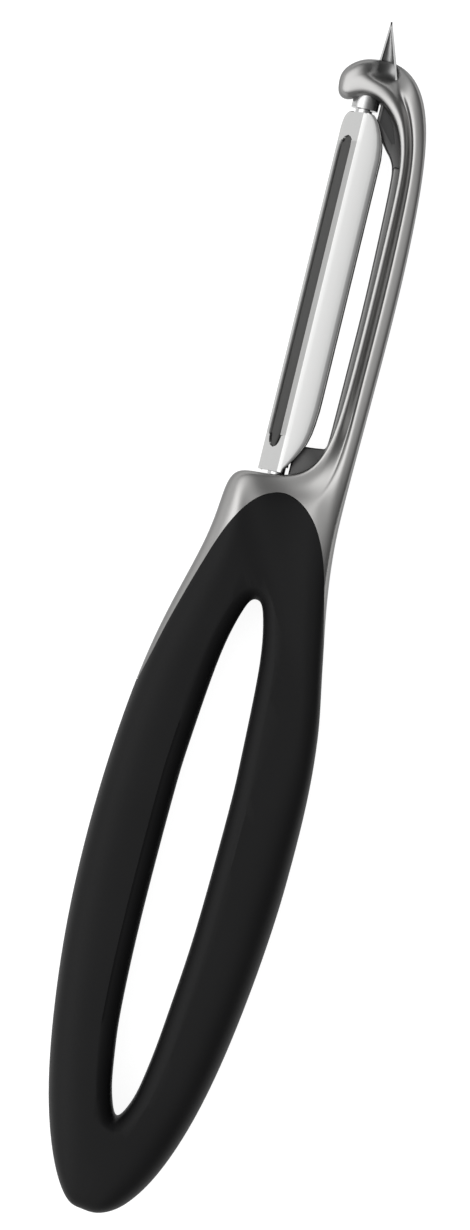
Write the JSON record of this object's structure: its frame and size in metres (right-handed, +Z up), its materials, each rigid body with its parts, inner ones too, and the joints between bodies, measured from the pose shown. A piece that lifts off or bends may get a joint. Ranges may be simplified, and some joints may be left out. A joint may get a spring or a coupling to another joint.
{
  "type": "vegetable peeler",
  "caption": "Straight swivel vegetable peeler: satin metal head, slotted pivoting blade, pointed eye gouge and a soft black loop handle.",
  "frame": {"origin": "bottom centre of the box of the peeler lying on its side, on the surface that it lies on", "axes": "+Y along the peeler towards the tip of the eye gouge, +X towards the arm's side, +Z up out of the side that the picture shows"},
  "size_m": [0.034, 0.2002, 0.014],
  "materials": {
    "satin_metal": "satin cast metal",
    "gouge_steel": "plain pressed sheet",
    "polished_steel": "polished",
    "blade_steel": "fine polished sheet with ground cutting edges",
    "core_plastic": "moulded, hidden in the grip",
    "grip_rubber": "soft-touch matte"
  },
  "bodies": {
    "frame": {"head_frame": "satin_metal", "eye_gouge": "gouge_steel", "top_pivot_bush": "polished_steel", "bottom_pivot_bush": "polished_steel", "handle_core": "core_plastic", "tang_pins": "polished_steel", "grip": "grip_rubber"},
    "blade": {"blade": "blade_steel", "top_pivot_pin": "polished_steel", "bottom_pivot_pin": "polished_steel"}
  },
  "joints": [
    {"name": "blade_swivel", "type": "hinge", "parent": "frame", "child": "blade", "pos_m": [-0.0007, 0.0544, 0.007], "axis": [0, 1, 0], "range_deg": [-73, 17]}
  ]
}
